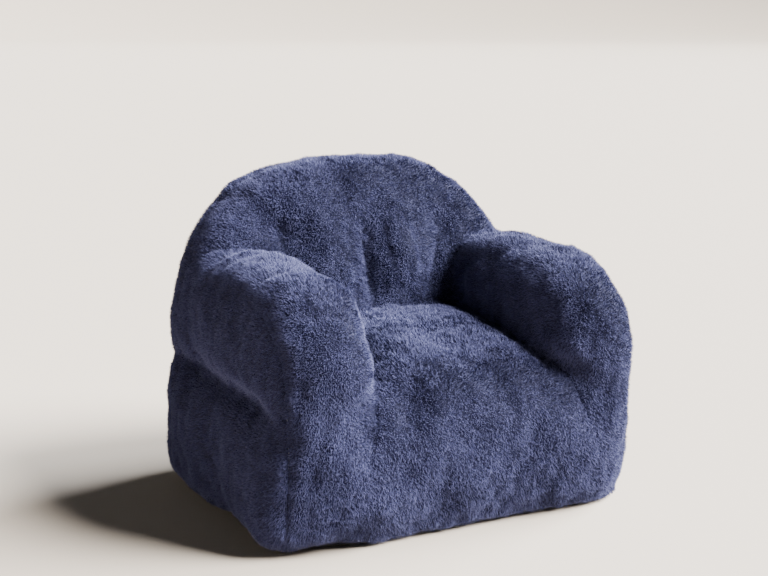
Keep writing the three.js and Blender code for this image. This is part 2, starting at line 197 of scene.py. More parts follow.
def seat_field():
    outline = [
        (-0.3, BELOW), (0.18, BELOW), (0.23, 0.15), (0.215, 0.36), (0.12, SEAT_TOP - 0.008),
        (0, SEAT_TOP), (-0.18, SEAT_TOP - 0.012), (-0.312, SEAT_TOP - 0.042), (-0.39, 0.335),
        (FRONT, 0.22), (FRONT + 0.006, 0.1), (-0.38, 0.02),
    ]
    return cushion(outline, (-0.06, 0.2), 5, Y, Z, X / (inner_face(Z) + SEAT_TUCK))


def envelope_field():
    """The seat and both arms as one body: the creases between them are filled up to this."""
    outline = [
        (-0.3, BELOW), (0.2, BELOW), (0.27, 0.11), (0.285, 0.42), (0.245, ARM_TOP - 0.03),
        (0.11, ARM_TOP), (-0.09, ARM_TOP + 0.005), (-0.255, ARM_TOP - 0.01), (-0.36, ARM_TOP - 0.08),
        (-0.41, 0.42), (FRONT, 0.29), (FRONT + 0.004, 0.13), (-0.388, 0.02),
    ]
    return cushion(outline, (-0.1, 0.25), 7, Y, Z, leaned(X) / (HALF_WIDTH + 0.004))


def back_field():
    left = [
        (0.442, BELOW), (HALF_WIDTH - 0.003, 0.09), (HALF_WIDTH, 0.29), (HALF_WIDTH - 0.006, 0.44),
        (0.425, 0.585), (0.34, 0.695), (0.2, BACK_TOP - 0.022),
    ]
    right = [(-x, z) for x, z in reversed(left)]
    outline = [(0, BELOW), *left, (0, BACK_TOP), *right]
    half = BACK_HALF - BACK_TAPER * np.maximum(0, Z - SEAT_TOP)
    return cushion(outline, (0, 0.35), 3, leaned(X), Z, (Y - back_middle(Z)) / half)


arm = arm_field()
seat = seat_field()
back = back_field()


# ---- Seams and folds ----
def valley(start, end, width, depth):
    """How deep a fold across the back's front is: start and end are (x, z)."""
    (x0, z0), (x1, z1) = start, end
    dx, dz = x1 - x0, z1 - z0
    t = np.clip(((X - x0) * dx + (Z - z0) * dz) / (dx * dx + dz * dz), 0, 1)
    away = np.hypot(X - x0 - t * dx, Z - z0 - t * dz)
    return depth * (0.55 * hill(away, width) + 0.45 * hill(away, 0.35 * width)) * (1 - 0.4 * t)


def tuft_dents():
    """The buttons' dimples and the folds that run from them, on the front half of the back."""
    away = [np.hypot(X - x, Z - z) for x, z in TUFTS]
    dimples = 0
    for distance, depth in zip(away, TUFT_DEPTHS):
        dimples = dimples + depth * (0.4 * hill(distance, 0.026) + 0.6 * hill(distance, 0.075))
    folds = [  # start, end, width, depth
        ((0.0, 0.60), (0.0, 0.43), 0.034, 0.050),
        ((-0.217, 0.62), (-0.19, 0.48), 0.032, 0.032),
        ((0.217, 0.61), (0.16, 0.48), 0.030, 0.028),
        ((0.05, 0.62), (0.075, 0.47), 0.024, 0.018),
        ((0.13, 0.62), (0.14, 0.50), 0.024, 0.016),
        ((0.0, 0.61), (0.03, 0.70), 0.026, 0.018),
        ((-0.217, 0.63), (-0.25, 0.70), 0.026, 0.018),
        ((0.217, 0.63), (0.27, 0.68), 0.026, 0.020),
    ]
    deepest = (sum(valley(*fold) ** 4 for fold in folds) + dimples**4) ** 0.25
    lobes = sum(0.012 * hill(np.hypot(X - x, 0.7 * (Z - 0.5)), 0.06) for x in (-0.095, 0.085))
    return (deepest - lobes) * ramp(back_middle(Z) - Y, 0.02, 0.06)


def crease_dent():
    """The deep fold around the outer sides, between their upper and lower panels."""
    fade = ramp(Y, -0.36, -0.2) * ramp(-Y, -0.36, -0.2) * ramp(np.abs(X), 0.36, 0.42)
    height = SIDE_CREASE + 0.03 * (Y + 0.1)
    return fade * (0.026 * hill(Z - height, 0.04) + 0.008 * hill(Z - height, 0.012))


def nearer(own, *others):
    """Negative where own is the nearest cushion; half the distance to the seam."""
    rest = others[0] if len(others) == 1 else np.minimum(*others)
    return (own - rest) / 2


zip_slot = all_of(np.abs(X) - ZIP_SLOT, np.abs(Z - ZIP_HEIGHT) - ZIP_SLOT_HALF + 0 * Y)
in_seat = nearer(seat, arm, back)
in_arm = nearer(arm, seat, back)
in_back = nearer(back, arm, seat)
rim = Y - back_middle(Z)
side = np.abs(X) - SIDE_SEAM

seam_share = 0.12 + 0.88 * ramp(Z, 0.24, 0.38)
seam_grooves = 0.004 * seam_share * hill(np.minimum(np.abs(in_seat), np.abs(in_arm)), 0.010)
wrap_groove = 0.004 * hill(side, 0.010) * (in_arm < 0)
rim_groove = 0.002 * hill(rim, 0.010) * (in_back < 0)
apron_blend = 0.06 + 0.14 * ramp(-Z, -0.40, -0.20)
body = rounded_max(smooth_min(seat, arm, apron_blend), envelope_field(), 0.02)
dents = tuft_dents()
cover = smooth_min(body, back + dents, 0.05)
cover = cover + seam_grooves + wrap_groove + rim_groove + crease_dent()
rear = ramp(Y, -0.3, 0.2)
floor_radius = 0.024 + 0.05 * rear + (1 - rear) * 0.040 * ramp(-X, 0.22, 0.42)
cover = rounded_max(cover, COVER_BOTTOM - BACKING_INSET - Z, floor_radius) + BACKING_INSET


# ---- Meshes ----
def surface(field, low=LOW, pitch=PITCH):
    """(points, quads) of a field's zero surface, facing out."""
    grid = openvdb.FloatGrid(1.0)
    grid.copyFromArray(np.ascontiguousarray(field, np.float32))
    points, quads = grid.convertToQuads(isovalue=0.0)
    points = low + pitch * points.astype(float)
    a, b, c = (points[quads[:, k]] for k in (0, 1, 2))
    if np.einsum("ij,ij->i", a - low, np.cross(b - low, c - low)).sum() < 0:
        quads = quads[:, ::-1]
    return points, quads.astype(int)


def coarse_surface(field):
    return surface(field[::2, ::2, ::2], pitch=2 * PITCH)


def mesh_object(name, points, faces, smooth=True):
    """A mesh object from points and lists of faces; one list holds faces with as many corners."""
    mesh = bpy.data.meshes.new(name)
    corners = np.concatenate([f.ravel() for f in faces])
    sizes = np.concatenate([np.full(len(f), f.shape[1]) for f in faces])
    mesh.vertices.add(len(points))
    mesh.vertices.foreach_set("co", np.ascontiguousarray(points, np.float32).ravel())
    mesh.loops.add(len(corners))
    mesh.loops.foreach_set("vertex_index", corners.astype(np.int32))
    mesh.polygons.add(len(sizes))
    mesh.polygons.foreach_set("loop_start", (np.cumsum(sizes) - sizes).astype(np.int32))
    mesh.update(calc_edges=True)
    mesh.polygons.foreach_set("use_smooth", np.full(len(sizes), smooth))
    thing = bpy.data.objects.new(name, mesh)
    scene.collection.objects.link(thing)
    return thing


class Waves:
    """Smooth noise in space: a sum of plane waves, with a standard deviation of about 1."""

    def __init__(self, length, count=24):
        away = rng.normal(size=(count, 3))
        away /= np.linalg.norm(away, axis=1, keepdims=True)
        self.pull = away * (2 * math.pi / (length * rng.uniform(0.6, 1.6, (count, 1))))
        self.phase = rng.uniform(0, 2 * math.pi, count)

    def __call__(self, points):
        return np.sin(points @ self.pull.T + self.phase).sum(axis=1) * math.sqrt(2 / len(self.phase))


big_lumps = Waves(0.22)
small_lumps = Waves(0.07)


# ---- Cloth simulation ----
MOST_PUFF = 0.020
MOST_SINK = 0.003  # the most that the simulation itself may move inwards
PUFF_SHIFT = 0.006  # taken off the movement, so that seams sink and the cushions between them rise
SIMULATED_FRAMES = 20
HELD_AT_SEAMS = 0.012
HELD_AT_BUTTONS = 0.02
HELD_AT_ZIP = 0.03
BIG_LUMP = 0.003
SMALL_LUMP = 0.0015


def lengths(vectors):
    return np.maximum(np.linalg.norm(vectors, axis=1, keepdims=True), 1e-9)


def simulated(points, quads, held):
    """Where a closed cover's points go when it is blown up, with some points held."""
    skin = mesh_object("simulated_skin", points, [quads])
    group = skin.vertex_groups.new(name="held")
    for level in (0.3, 0.6, 1.0):
        group.add(np.flatnonzero(held >= level - 0.15).tolist(), level, "REPLACE")
    cloth = skin.modifiers.new("cloth", "CLOTH")
    settings = cloth.settings
    settings.quality = 4
    settings.mass = 0.25
    settings.tension_stiffness = 12
    settings.compression_stiffness = 12
    settings.shear_stiffness = 6
    settings.bending_stiffness = 0.6
    settings.use_pressure = True
    settings.uniform_pressure_force = 4
    settings.shrink_min = -0.035
    settings.vertex_group_mass = "held"
    settings.effector_weights.gravity = 0
    for number in range(1, SIMULATED_FRAMES + 1):
        scene.frame_set(number)
    after = skin.evaluated_get(bpy.context.evaluated_depsgraph_get()).to_mesh()
    moved = np.empty(3 * len(points), np.float32)
    after.vertices.foreach_get("co", moved)
    scene.frame_set(1)
    bpy.data.objects.remove(skin)
    return moved.reshape(-1, 3)


def spread_out(points, moves, pitch, shape):
    """Moves of scattered points as a field: averaged in each cell, then carried to the cells around."""
    total = np.zeros((*shape, 3))
    weight = np.zeros((*shape, 1))
    cell = np.round((points - LOW) / pitch).astype(int)
    np.add.at(total, tuple(cell.T), moves)
    np.add.at(weight, tuple(cell.T), 1)
    for _ in range(3):
        for axis in range(3):
            total = total + 0.5 * (np.roll(total, 1, axis) + np.roll(total, -1, axis))
            weight = weight + 0.5 * (np.roll(weight, 1, axis) + np.roll(weight, -1, axis))
    return total / np.maximum(weight, 1e-6)


def puff_field():
    """How far the simulation moves the cover, as a field on every other point of the grid."""
    points, quads = coarse_surface(cover)
    seams = np.minimum(np.abs(sample(in_seat, points)), np.abs(sample(in_arm, points)))
    wraps = np.where(sample(in_arm, points) < 0, np.abs(np.abs(points[:, 0]) - SIDE_SEAM), 1)
    behind = FAR * (sample(back_front, points) < 0)
    buttons = np.min([np.hypot(points[:, 0] - x, points[:, 2] - z) + behind for x, z in TUFTS], axis=0)
    slot = np.abs(sample(zip_slot, points)) + (points[:, 1] < 0)
    seams = seams + 0.02 * ramp(-points[:, 2], -0.38, -0.22)
    held = hill(np.minimum(seams, wraps), HELD_AT_SEAMS) + hill(buttons, HELD_AT_BUTTONS)
    held = held + hill(np.maximum(slot, 0), HELD_AT_ZIP)
    held = held + ramp(sample(dents, points), 0.006, 0.02) + (points[:, 2] < 0.03)
    moves = simulated(points, quads, np.clip(held, 0, 1)) - points
    size = lengths(moves)
    moves *= np.minimum(size, MOST_PUFF) / size
    growth = slope(cover, points)
    rise = np.einsum("ij,ij->i", moves, growth)
    moves += growth * (np.maximum(rise, -MOST_SINK) - rise - PUFF_SHIFT)[:, None]
    shape = [n // 2 + 1 for n in cover.shape]
    return spread_out(points, moves, 2 * PITCH, shape)


back_front = back_middle(Z) - Y + 0 * X
puff = puff_field()


def settled(points, growth):
    """Points of the cover, or inside it, after the simulation and with the filling's lumps."""
    lumps = BIG_LUMP * big_lumps(points) + SMALL_LUMP * small_lumps(points)
    moved = points + sample(puff, points, 2 * PITCH) + growth * lumps[:, None]
    moved[:, 2] = np.maximum(moved[:, 2], COVER_BOTTOM)
    return moved


# ---- Fur ----
flow = [Waves(0.18) for _ in range(3)]
swirl = [Waves(0.035) for _ in range(3)]
# The next two noises paint light and shade: lighter and darker patches where the nap lies another way to
# the light.
shade_patches = Waves(0.05)
painted_nap_sheen_patches = Waves(0.18)
CLUMP = 0.0045
CLUMP_PULL = 0.3
STROKE = (-0.35, 0.35, -0.6)  # the way a hand has smoothed the pile
SWAY = 0.14  # how far the pile strays from the stroke, in wide bends and in swirls
JITTER = 0.9  # and each blade by itself
LEAN = 36  # degrees from standing straight up
LEAN_SPREAD = 11
ROLL = 1.2  # radians
BLADE_HALF_WIDTHS = (0.0007, 0.0012)
ROOT_DEPTH = 0.001
LOWEST_TIP = 0.002
LOWEST_PILE = 0.012  # no pile grows on faces below this height
FACING_OUT = 0.2  # faces turned further outwards than this carry pile
# Root, middle and tip colours of each blade: the middle is the navy's own colour, the darker root is
# painted shade deep in the pile and the paler tip is painted highlight where light catches the tips.
PILE_ROOT_PAINTED_SHADE = (0.003, 0.0035, 0.024, 1)
PILE_MIDDLE = (0.019, 0.021, 0.072, 1)
PILE_TIP_PAINTED_HIGHLIGHT = (0.080, 0.085, 0.175, 1)
# Ends of the tone ramp. The tone holds each blade's own random tone and the painted light and shade of
# the nap.
TONE_AND_NAP_SHEEN_DARK = (0.42, 0.42, 0.45, 1)
TONE_AND_NAP_SHEEN_LIGHT = (1.6, 1.6, 1.55, 1)


def corner_areas(points, quads):
    a, b, c, d = (points[quads[:, k]] for k in range(4))
    return np.linalg.norm(np.cross(c - a, d - b), axis=1) / 2


def combed(points, normals):
    """The way the pile is stroked: mostly downwards, with swirls, along the surface."""
    way = np.stack([SWAY * f(points) + SWAY * s(points) for f, s in zip(flow, swirl)], axis=1)
    way += STROKE
    way -= normals * np.einsum("ij,ij->i", way, normals)[:, None]
    return way / lengths(way)


def pile_on(points, quads, normals, density):
    """Blades on the given faces: (points, triangles, tone with painted nap light and shade of each point,
    height of each point).
    """
    areas = corner_areas(points, quads)
    count = int(areas.sum() * density)
    pick = (np.arange(count) + rng.random(count)) / count
    face = np.minimum(np.searchsorted(np.cumsum(areas) / areas.sum(), pick), len(quads) - 1)
    u, v = rng.random((2, count, 1))
    a, b, c, d = (points[quads[face, k]] for k in range(4))
    root = (1 - u) * (1 - v) * a + u * (1 - v) * b + u * v * c + (1 - u) * v * d
    normal = normals[quads[face, 0]]

    lean = np.radians(rng.normal(LEAN, LEAN_SPREAD, (count, 1)))
    way = combed(root, normal) + rng.normal(0, JITTER, (count, 3))
    way -= normal * np.einsum("ij,ij->i", way, normal)[:, None]
    way /= lengths(way)
    length = PILE_LENGTH * rng.uniform(0.8, 1.2, (count, 1)) * (1 + 0.10 * swirl[0](root)[:, None])
    tip = root + length * (np.cos(lean) * normal + np.sin(lean) * way)
    clump = (np.floor(tip / CLUMP) + 0.5) * CLUMP
    tip += CLUMP_PULL * (clump - tip)
    tip[:, 2] = np.maximum(tip[:, 2], LOWEST_TIP)

    roll = rng.uniform(-ROLL, ROLL, (count, 1))
    across = np.cos(roll) * np.cross(normal, way) + np.sin(roll) * normal
    width = rng.uniform(*BLADE_HALF_WIDTHS, (count, 1)) * math.sqrt(BLADES_PER_SQUARE_METRE / density)
    sunk = root - ROOT_DEPTH * normal
    blades = np.stack([sunk + width * across, sunk - width * across, tip], axis=1).reshape(-1, 3)
    # The two patch terms are painted light and shade of the nap; the random term is each blade's own
    # tone.
    tone_and_nap_sheen = 0.5 + 0.04 * shade_patches(root) + 0.03 * painted_nap_sheen_patches(root) + 0.13 * rng.normal(size=count)
    height = np.tile([0.2, 0.2, 1.0], count)
    return blades, np.arange(3 * count).reshape(-1, 3), np.repeat(np.clip(tone_and_nap_sheen, 0.02, 0.98), 3), height


def new_material(name):
    """A material, with its nodes, its links and its shader."""
    material = bpy.data.materials.new(name)
    material.use_nodes = True
    nodes = material.node_tree.nodes
    return material, nodes, material.node_tree.links, nodes["Principled BSDF"]


def fur_material(name):
    """Dark at the roots and pale at the tips, as painted shade deep in the pile and painted highlight on
    the tips, with a tone of its own for each blade and painted patches of nap light and shade.
    """
    material, nodes, links, shader = new_material(name)
    shader.inputs["Roughness"].default_value = 0.85
    shader.inputs["Specular IOR Level"].default_value = 0.25
    shader.inputs["Sheen Weight"].default_value = 0.12
    shader.inputs["Sheen Roughness"].default_value = 0.4
    shader.inputs["Sheen Tint"].default_value = (0.38, 0.46, 0.95, 1)
    place = nodes.new("ShaderNodeUVMap")
    place.uv_map = "OFBake"
    split = nodes.new("ShaderNodeSeparateXYZ")
    links.new(place.outputs["UV"], split.inputs[0])
    along = nodes.new("ShaderNodeValToRGB")
    along.color_ramp.elements[0].color = PILE_ROOT_PAINTED_SHADE
    along.color_ramp.elements[1].color = PILE_TIP_PAINTED_HIGHLIGHT
    middle = along.color_ramp.elements.new(0.5)
    middle.color = PILE_MIDDLE
    links.new(split.outputs["Y"], along.inputs["Fac"])
    tone_and_nap_sheen = nodes.new("ShaderNodeValToRGB")
    tone_and_nap_sheen.color_ramp.elements[0].color = TONE_AND_NAP_SHEEN_DARK
    tone_and_nap_sheen.color_ramp.elements[1].color = TONE_AND_NAP_SHEEN_LIGHT
    links.new(split.outputs["X"], tone_and_nap_sheen.inputs["Fac"])
    mix = nodes.new("ShaderNodeMix")
    mix.data_type = "RGBA"
    mix.blend_type = "MULTIPLY"
    mix.inputs["Factor"].default_value = 1
    links.new(along.outputs["Color"], mix.inputs["A"])
    links.new(tone_and_nap_sheen.outputs["Color"], mix.inputs["B"])
    links.new(mix.outputs["Result"], shader.inputs["Base Color"])
    return material


FUR = fur_material("fur")
BUTTON_FUR = fur_material("button_fur")


def with_pile(name, points, faces, furred, normals, density, material):
    """A mesh of points and faces, with blades of pile on its furred quads."""
    hairs, triangles, tone_and_nap_sheen, height = pile_on(points, furred, normals, density)
    piece = mesh_object(name, np.concatenate([points, hairs]), [*faces, len(points) + triangles])
    # The backing takes the colour at the blades' roots, with its painted shade.
    tone_and_nap_sheen = np.concatenate([np.full(len(points), 0.4), tone_and_nap_sheen])
    height = np.concatenate([np.zeros(len(points)), height])
    layer = piece.data.uv_layers.new(name="OFBake")
    corner = np.empty(len(piece.data.loops), np.int32)
    piece.data.loops.foreach_get("vertex_index", corner)
    tone_nap_sheen_and_height = np.stack([tone_and_nap_sheen[corner], height[corner]], axis=1)
    layer.data.foreach_set("uv", tone_nap_sheen_and_height.astype(np.float32).ravel())
    piece.data.materials.append(material)
    return piece


def fur_panel(name, region, density=BLADES_PER_SQUARE_METRE):
    """A panel: a closed slab of backing with its pile, in the place of the CAD panel."""
    points, quads = surface(all_of(cover, -cover - BACKING, region + SEAM))
    growth = slope(cover, points)
    edge = points[quads[:, 1]] - points[quads[:, 3]]
    facing = np.cross(points[quads[:, 2]] - points[quads[:, 0]], -edge)
    facing /= lengths(facing)
    centre = points[quads].mean(axis=1)
    turned_out = np.einsum("ij,ij->i", facing, growth[quads[:, 0]]) > FACING_OUT
    outer = turned_out & (sample(cover, centre) > -0.5 * BACKING)
    points = settled(points, growth)
    above = outer & (centre[:, 2] > LOWEST_PILE)
    panel = with_pile(f"{name}_with_pile", points, [quads], quads[above], growth, density, FUR)
    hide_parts(name)
    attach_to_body(panel, "chair")


fur_panel("seat_fur_panel", in_seat, density=215000)
fur_panel("back_inner_fur_panel", all_of(in_back, rim + SEAM))
fur_panel("back_outer_fur_panel", all_of(in_back, -rim + SEAM, -zip_slot), density=160000)
for name, sign in (("right", -1), ("left", 1)):
    half = all_of(in_arm, -sign * X)
    fur_panel(f"{name}_arm_wrap_fur_panel", all_of(half, side))
    fur_panel(f"{name}_upper_side_fur_panel", all_of(half, -side, SIDE_CREASE - Z))
    fur_panel(f"{name}_lower_side_fur_panel", all_of(half, -side, Z - SIDE_CREASE))


# ---- Other materials ----
def shaded(nodes, links, factor, dark, bright):
    """The base colour goes from dark to bright as factor grows."""
    mix = nodes.new("ShaderNodeMix")
    mix.data_type = "RGBA"
    mix.inputs["A"].default_value = (*dark, 1)
    mix.inputs["B"].default_value = (*bright, 1)
    links.new(factor, mix.inputs["Factor"])
    links.new(mix.outputs["Result"], nodes["Principled BSDF"].inputs["Base Color"])


def bumped(nodes, links, height, distance, strength=1):
    bump = nodes.new("ShaderNodeBump")
    bump.inputs["Strength"].default_value = strength
    bump.inputs["Distance"].default_value = distance
    links.new(height, bump.inputs["Height"])
    links.new(bump.outputs["Normal"], nodes["Principled BSDF"].inputs["Normal"])
    return bump


def woven(name, colour, scale, roughness=0.85, sheen=0.2):
    """Cloth: two sets of threads as bump and shade, and uneven dye."""
    material, nodes, links, shader = new_material(name)
    shader.inputs["Roughness"].default_value = roughness
    shader.inputs["Sheen Weight"].default_value = sheen
    place = nodes.new("ShaderNodeTexCoord")
    threads = []
    for direction in ("X", "Z"):
        wave = nodes.new("ShaderNodeTexWave")
        wave.bands_direction = direction
        wave.inputs["Scale"].default_value = scale
        wave.inputs["Distortion"].default_value = 0.6
        links.new(place.outputs["Object"], wave.inputs["Vector"])
        threads.append(wave)
    weave = nodes.new("ShaderNodeMath")
    weave.operation = "MAXIMUM"
    links.new(threads[0].outputs["Fac"], weave.inputs[0])
    links.new(threads[1].outputs["Fac"], weave.inputs[1])
    dye = nodes.new("ShaderNodeTexNoise")
    dye.inputs["Scale"].default_value = 25
    dye.inputs["Detail"].default_value = 6
    links.new(place.outputs["Object"], dye.inputs["Vector"])
    shade = nodes.new("ShaderNodeMath")
    shade.operation = "MULTIPLY"
    links.new(weave.outputs[0], shade.inputs[0])
    links.new(dye.outputs["Fac"], shade.inputs[1])
    bright = [min(1, 1.25 * c) for c in colour]
    shaded(nodes, links, shade.outputs[0], [0.55 * c for c in colour], bright)
    bumped(nodes, links, weave.outputs[0], 0.0004, strength=0.4)
    return material


def scuffed(name, colour, metallic, roughness):
    """Hard material with fine scratches in its roughness and tone."""
    material, nodes, links, shader = new_material(name)
    shader.inputs["Metallic"].default_value = metallic
    place = nodes.new("ShaderNodeTexCoord")
    scratch = nodes.new("ShaderNodeTexNoise")
    scratch.inputs["Scale"].default_value = 400
    scratch.inputs["Detail"].default_value = 8
    links.new(place.outputs["Object"], scratch.inputs["Vector"])
    span = nodes.new("ShaderNodeMapRange")
    span.inputs["To Min"].default_value = roughness - 0.12
    span.inputs["To Max"].default_value = roughness + 0.15
    links.new(scratch.outputs["Fac"], span.inputs["Value"])
    links.new(span.outputs["Result"], shader.inputs["Roughness"])
    shaded(nodes, links, scratch.outputs["Fac"], [0.7 * c for c in colour], colour)
    return material


def crumbly(name, colour):
    """Loose foam: rounded crumbs as bump, with a shade of its own for each."""
    material, nodes, links, shader = new_material(name)
    shader.inputs["Roughness"].default_value = 0.95
    place = nodes.new("ShaderNodeTexCoord")
    crumbs = nodes.new("ShaderNodeTexVoronoi")
    crumbs.inputs["Scale"].default_value = 90
    links.new(place.outputs["Object"], crumbs.inputs["Vector"])
    shaded(nodes, links, crumbs.outputs["Color"], [0.7 * c for c in colour], colour)
    bump = bumped(nodes, links, crumbs.outputs["Distance"], 0.003)
    bump.invert = True
    return material


LINING = woven("lining", (0.58, 0.56, 0.50), 500)
FOAM = crumbly("foam", (0.75, 0.68, 0.38))
NYLON = scuffed("nylon", (0.028, 0.032, 0.09), 0.0, 0.45)
ZINC = scuffed("zinc", (0.52, 0.53, 0.56), 0.9, 0.35)


# ---- Liners and fillings ----
LINER_GAP = 0.003  # from a liner to the seam's middle
FILLING_GAP = 0.001
CRUMB = 0.0012
BAFFLE_REACH = 0.003  # a sheet is the faces within this of the seam's middle
BAFFLE_EDGE = 0.006  # it ends this far inside the liners


def inner_pieces(cushion_name, region):
    """A cushion's liner, a thin bag, and the filling inside it."""
    bag = all_of(cover + LINER_INSET, region + LINER_GAP)
    outside, outside_quads = coarse_surface(bag)
    inside, inside_quads = coarse_surface(bag + LINER)
    points = np.concatenate([outside, inside])
    quads = np.concatenate([outside_quads, inside_quads[:, ::-1] + len(outside)])
    liner = mesh_object(f"{cushion_name}_liner_bag", settled(points, slope(cover, points)), [quads])
    liner.data.materials.append(LINING)
    points, quads = coarse_surface(bag + LINER + FILLING_GAP)
    crumbs = CRUMB * (small_lumps(3 * points) - 2)
    points = settled(points, slope(cover, points)) + slope(bag, points) * crumbs[:, None]
    filling = mesh_object(f"{cushion_name}_filling_crumbs", points, [quads])
    filling.data.materials.append(FOAM)
    for piece, node, slot in ((liner, "liner", "lining"), (filling, "filling", "foam")):
        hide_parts(f"{cushion_name}_{node}")
        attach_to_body(piece, "chair")


def baffle(name, region, between):
    """A sheet of lining sewn between two cushions: the part of one's region where between is 0."""
    points, quads = coarse_surface(all_of(region, cover + LINER_INSET))
    centre = points[quads].mean(axis=1)
    on_seam = np.abs(sample(between, centre)) < BAFFLE_REACH
    inner = on_seam & (sample(cover, centre) < -LINER_INSET - BAFFLE_EDGE)
    used, quads = np.unique(quads[inner], return_inverse=True)
    points = points[used]
    sheet = mesh_object(f"{name}_sheet", settled(points, slope(cover, points)), [quads.reshape(-1, 4)])
    thickness = sheet.modifiers.new("thickness", "SOLIDIFY")
    thickness.thickness = LINER
    thickness.offset = 0
    sheet.data.materials.append(LINING)
    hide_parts(name)
    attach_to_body(sheet, "chair")


inner_pieces("seat", in_seat)
inner_pieces("back", in_back)
inner_pieces("right_arm", all_of(in_arm, X))
inner_pieces("left_arm", all_of(in_arm, -X))
baffle("seat_back_baffle", in_seat, nearer(seat, back))
for name, sign in (("right", -1), ("left", 1)):
    half = all_of(in_arm, -sign * X)
    baffle(f"{name}_arm_seat_baffle", half, nearer(arm, seat))
    baffle(f"{name}_arm_back_baffle", half, nearer(arm, back))


# ---- Buttons and zip ----
BUTTON_PLEATS = 12
BUTTON_BLADES = 400000  # per square metre
FINE_PITCH = 0.0004
FINE_MARGIN = 0.002
SLIDER_HALF_LENGTH = 0.0075
PULL_HALF_WIDTH = 0.0045
PULL_TIP = 0.029  # from the hinge to where the tab's end starts to round
COIL_TURNS = 199
COIL_WIRE = 0.00042
COIL_HALF_DEPTH = 0.0015
COIL_HALF_WIDTH = 0.0013


def ring_quads(gaps, sides):
    """Faces between rings of points that follow one another, each with as many points."""
    first = sides * np.arange(gaps)[:, None] + np.arange(sides)
    beside = sides * np.arange(gaps)[:, None] + (np.arange(sides) + 1) % sides
    return np.stack([first, beside, beside + sides, first + sides], axis=2).reshape(-1, 4)


def attach(piece, node, body):
    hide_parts(node)
    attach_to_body(piece, body)


def covered_button(number):
    """A flat dome covered in the same fur, gathered into pleats at the rim."""
    low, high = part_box(f"tuft_button_{number}")
    centre = (low + high) / 2
    radius = (high.x - low.x) / 2
    depth = high.y - low.y
    rings = 12
    sides = 48
    angle = np.linspace(0, 2 * math.pi, sides, endpoint=False)
    profile = np.linspace(0.04, 1, rings)[:, None]
    pleat = 1 + 0.03 * np.maximum(profile - 0.6, 0) * np.cos(BUTTON_PLEATS * angle)
    x = centre.x + radius * profile * pleat * np.cos(angle)
    z = centre.z + radius * profile * pleat * np.sin(angle)
    y = low.y + depth * 0.75 * profile**3 + 0 * angle
    rear_x = centre.x + 0.9 * radius * np.cos(angle)
    rear_z = centre.z + 0.9 * radius * np.sin(angle)
    rear = np.stack([rear_x, np.full(sides, high.y), rear_z], axis=1)
    points = np.concatenate([np.stack([x, y, z], axis=2).reshape(-1, 3), rear])
    quads = ring_quads(rings, sides)
    caps = [np.arange(sides)[None, ::-1], rings * sides + np.arange(sides)[None]]
    normals = np.array([0, -1, 0]) + 0.9 * (points - np.array(centre)) * (1, 0, 1) / radius
    normals = normals / lengths(normals)
    front = quads[: sides * (rings - 1)]
    name = f"tuft_button_{number}_covered"
    button = with_pile(name, points, [quads, *caps], front, normals, BUTTON_BLADES, BUTTON_FUR)
    attach(button, f"tuft_button_{number}", "chair")


def round_box(x, y, z, centre, half, radius):
    """Distance to a box with rounded edges."""
    q = [np.abs(v - c) - h + radius for v, c, h in zip((x, y, z), centre, half)]
    outside = np.sqrt(sum(np.maximum(v, 0) ** 2 for v in q))
    return outside + np.minimum(all_of(*q), 0) - radius


def fine_piece(name, node, shape, body, material):
    """A small solid from a distance field on a fine grid around its CAD node."""
    low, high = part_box(node)
    spans = tuple(slice(a - FINE_MARGIN, b + FINE_MARGIN, FINE_PITCH) for a, b in zip(low, high))
    x, y, z = np.ogrid[spans]
    points, quads = surface(shape(x, y, z), low=np.array(low) - FINE_MARGIN, pitch=FINE_PITCH)
    piece = mesh_object(name, points, [quads])
    piece.data.materials.append(material)
    attach(piece, node, body)


def slider_shape(x, y, z):
    """A plate on each side of the coils, narrower at one end, with a post between and a bail outside."""
    narrow = 0.0045 + 0.10 * (x - SLIDER_X + SLIDER_HALF_LENGTH)
    half = (SLIDER_HALF_LENGTH, 0.0007, 0.006)
    plates = round_box(x, np.abs(y - COIL_Y), z, (SLIDER_X, 0.0027, ZIP_HEIGHT), half, 0.0006)
    plates = np.maximum(plates, np.abs(z - ZIP_HEIGHT) - narrow)
    post = round_box(x, y, z, (SLIDER_X, COIL_Y, ZIP_HEIGHT), (0.004, 0.003, 0.0005), 0.0004)
    bail = round_box(x, y, z, (SLIDER_X, PULL_Y - 0.0005, ZIP_HEIGHT), (0.004, 0.0032, 0.001), 0.0009)
    eye = round_box(x, y, z, (SLIDER_X, PULL_Y, 0), (0.0022, 0.0015, FAR), 0.0006)
    return np.minimum(np.minimum(plates, post), np.maximum(bail, -eye))


def pull_shape(x, y, z):
    """A plate with a round end, a hole at the hinge and a hollow on each face to hold it by."""
    half = (0.0175, 0.0008, PULL_HALF_WIDTH)
    plate = round_box(x, y, z, (SLIDER_X + 0.0165, PULL_Y, ZIP_HEIGHT), half, 0.0007)
    tail = np.hypot(np.maximum(x - SLIDER_X - PULL_TIP, 0), z - ZIP_HEIGHT) - PULL_HALF_WIDTH
    hole = round_box(x, y, z, (SLIDER_X + 0.00375, 0, ZIP_HEIGHT), (0.00275, FAR, 0.002), 0.0008)
    grip_middle = (SLIDER_X + 0.02, 0.0012, ZIP_HEIGHT)
    grip = round_box(x, np.abs(y - PULL_Y), z, grip_middle, (0.009, 0.0006, 0.0025), 0.0005)
    return all_of(plate, np.minimum(tail, SLIDER_X + PULL_TIP - x), -hole, -grip)


def stop_shape(node):
    """A rounded block that fills its CAD node's box."""
    low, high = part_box(node)
    centre = (low + high) / 2
    half = (high - low) / 2
    return lambda x, y, z: round_box(x, y, z, centre, half, 0.0007)


